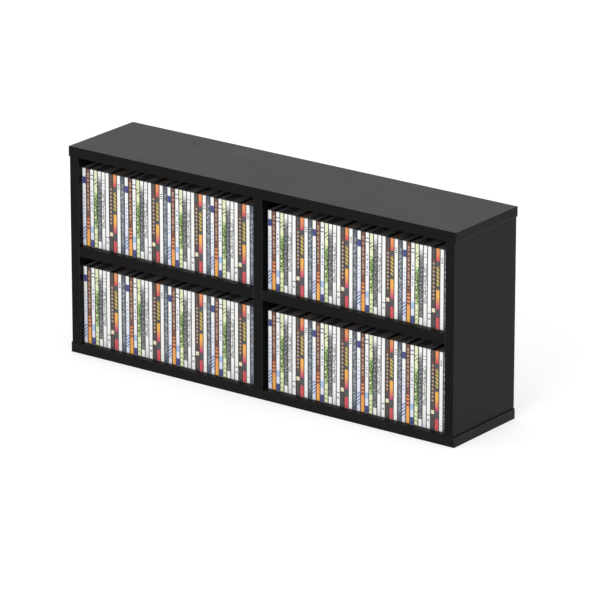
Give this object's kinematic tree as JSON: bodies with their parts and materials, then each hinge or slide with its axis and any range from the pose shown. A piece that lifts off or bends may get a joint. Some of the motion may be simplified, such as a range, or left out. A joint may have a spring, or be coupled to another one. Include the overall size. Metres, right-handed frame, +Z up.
{
  "type": "cd storage box",
  "caption": "Low black board cabinet with open bays for standing CD cases, a centre divider, shelves, a grooved back and slim cases that slide out at the front",
  "frame": {"origin": "middle of the underside, on the surface that the cabinet stands on", "axes": "+X along the width, to the right seen from the open front; +Y from the open front to the back panel; +Z up"},
  "size_m": [0.72, 0.158, 0.332],
  "materials": {
    "black_board": "satin",
    "black_edge_band": "satin",
    "black_hardboard": "matte",
    "zinc_cam": "satin",
    "steel_bolt": "satin",
    "beech_dowel": "matte",
    "cd_case": "gloss"
  },
  "bodies": {
    "cabinet": {"top_panel": "black_board", "bottom_panel": "black_board", "left_side_panel": "black_board", "right_side_panel": "black_board", "centre_divider": "black_board", "left_shelf": "black_board", "right_shelf": "black_board", "top_panel_edge_band": "black_edge_band", "bottom_panel_edge_band": "black_edge_band", "left_side_edge_band": "black_edge_band", "right_side_edge_band": "black_edge_band", "divider_edge_band": "black_edge_band", "left_shelf_edge_band": "black_edge_band", "right_shelf_edge_band": "black_edge_band", "back_panel": "black_hardboard", "left_side_cam_locks": "zinc_cam", "right_side_cam_locks": "zinc_cam", "divider_cam_locks": "zinc_cam", "left_side_cam_bolts": "steel_bolt", "right_side_cam_bolts": "steel_bolt", "divider_cam_bolts": "steel_bolt", "left_side_dowels": "beech_dowel", "right_side_dowels": "beech_dowel", "divider_dowels": "beech_dowel"},
    "upper_left_block_1": {"upper_left_cases_1": "cd_case"},
    "upper_left_block_2": {"upper_left_cases_2": "cd_case"},
    "upper_left_block_3": {"upper_left_cases_3": "cd_case"},
    "upper_left_block_4": {"upper_left_cases_4": "cd_case"},
    "upper_left_single": {"upper_left_single_case": "cd_case"},
    "upper_right_block_1": {"upper_right_cases_1": "cd_case"},
    "upper_right_block_2": {"upper_right_cases_2": "cd_case"},
    "upper_right_block_3": {"upper_right_cases_3": "cd_case"},
    "upper_right_block_4": {"upper_right_cases_4": "cd_case"},
    "upper_right_single": {"upper_right_single_case": "cd_case"},
    "lower_left_block_1": {"lower_left_cases_1": "cd_case"},
    "lower_left_block_2": {"lower_left_cases_2": "cd_case"},
    "lower_left_block_3": {"lower_left_cases_3": "cd_case"},
    "lower_left_block_4": {"lower_left_cases_4": "cd_case"},
    "lower_left_single": {"lower_left_single_case": "cd_case"},
    "lower_right_block_1": {"lower_right_cases_1": "cd_case"},
    "lower_right_block_2": {"lower_right_cases_2": "cd_case"},
    "lower_right_block_3": {"lower_right_cases_3": "cd_case"},
    "lower_right_block_4": {"lower_right_cases_4": "cd_case"},
    "lower_right_single": {"lower_right_single_case": "cd_case"}
  },
  "joints": [
    {"name": "upper_left_block_1_slide", "type": "slide", "parent": "cabinet", "child": "upper_left_block_1", "axis": [0, -1, 0], "range_m": [0, 0.155]},
    {"name": "upper_left_block_2_slide", "type": "slide", "parent": "cabinet", "child": "upper_left_block_2", "axis": [0, -1, 0], "range_m": [0, 0.155]},
    {"name": "upper_left_block_3_slide", "type": "slide", "parent": "cabinet", "child": "upper_left_block_3", "axis": [0, -1, 0], "range_m": [0, 0.155]},
    {"name": "upper_left_block_4_slide", "type": "slide", "parent": "cabinet", "child": "upper_left_block_4", "axis": [0, -1, 0], "range_m": [0, 0.155]},
    {"name": "upper_left_single_slide", "type": "slide", "parent": "cabinet", "child": "upper_left_single", "axis": [0, -1, 0], "range_m": [0, 0.155]},
    {"name": "upper_right_block_1_slide", "type": "slide", "parent": "cabinet", "child": "upper_right_block_1", "axis": [0, -1, 0], "range_m": [0, 0.155]},
    {"name": "upper_right_block_2_slide", "type": "slide", "parent": "cabinet", "child": "upper_right_block_2", "axis": [0, -1, 0], "range_m": [0, 0.155]},
    {"name": "upper_right_block_3_slide", "type": "slide", "parent": "cabinet", "child": "upper_right_block_3", "axis": [0, -1, 0], "range_m": [0, 0.155]},
    {"name": "upper_right_block_4_slide", "type": "slide", "parent": "cabinet", "child": "upper_right_block_4", "axis": [0, -1, 0], "range_m": [0, 0.155]},
    {"name": "upper_right_single_slide", "type": "slide", "parent": "cabinet", "child": "upper_right_single", "axis": [0, -1, 0], "range_m": [0, 0.155]},
    {"name": "lower_left_block_1_slide", "type": "slide", "parent": "cabinet", "child": "lower_left_block_1", "axis": [0, -1, 0], "range_m": [0, 0.155]},
    {"name": "lower_left_block_2_slide", "type": "slide", "parent": "cabinet", "child": "lower_left_block_2", "axis": [0, -1, 0], "range_m": [0, 0.155]},
    {"name": "lower_left_block_3_slide", "type": "slide", "parent": "cabinet", "child": "lower_left_block_3", "axis": [0, -1, 0], "range_m": [0, 0.155]},
    {"name": "lower_left_block_4_slide", "type": "slide", "parent": "cabinet", "child": "lower_left_block_4", "axis": [0, -1, 0], "range_m": [0, 0.155]},
    {"name": "lower_left_single_slide", "type": "slide", "parent": "cabinet", "child": "lower_left_single", "axis": [0, -1, 0], "range_m": [0, 0.155]},
    {"name": "lower_right_block_1_slide", "type": "slide", "parent": "cabinet", "child": "lower_right_block_1", "axis": [0, -1, 0], "range_m": [0, 0.155]},
    {"name": "lower_right_block_2_slide", "type": "slide", "parent": "cabinet", "child": "lower_right_block_2", "axis": [0, -1, 0], "range_m": [0, 0.155]},
    {"name": "lower_right_block_3_slide", "type": "slide", "parent": "cabinet", "child": "lower_right_block_3", "axis": [0, -1, 0], "range_m": [0, 0.155]},
    {"name": "lower_right_block_4_slide", "type": "slide", "parent": "cabinet", "child": "lower_right_block_4", "axis": [0, -1, 0], "range_m": [0, 0.155]},
    {"name": "lower_right_single_slide", "type": "slide", "parent": "cabinet", "child": "lower_right_single", "axis": [0, -1, 0], "range_m": [0, 0.155]}
  ]
}
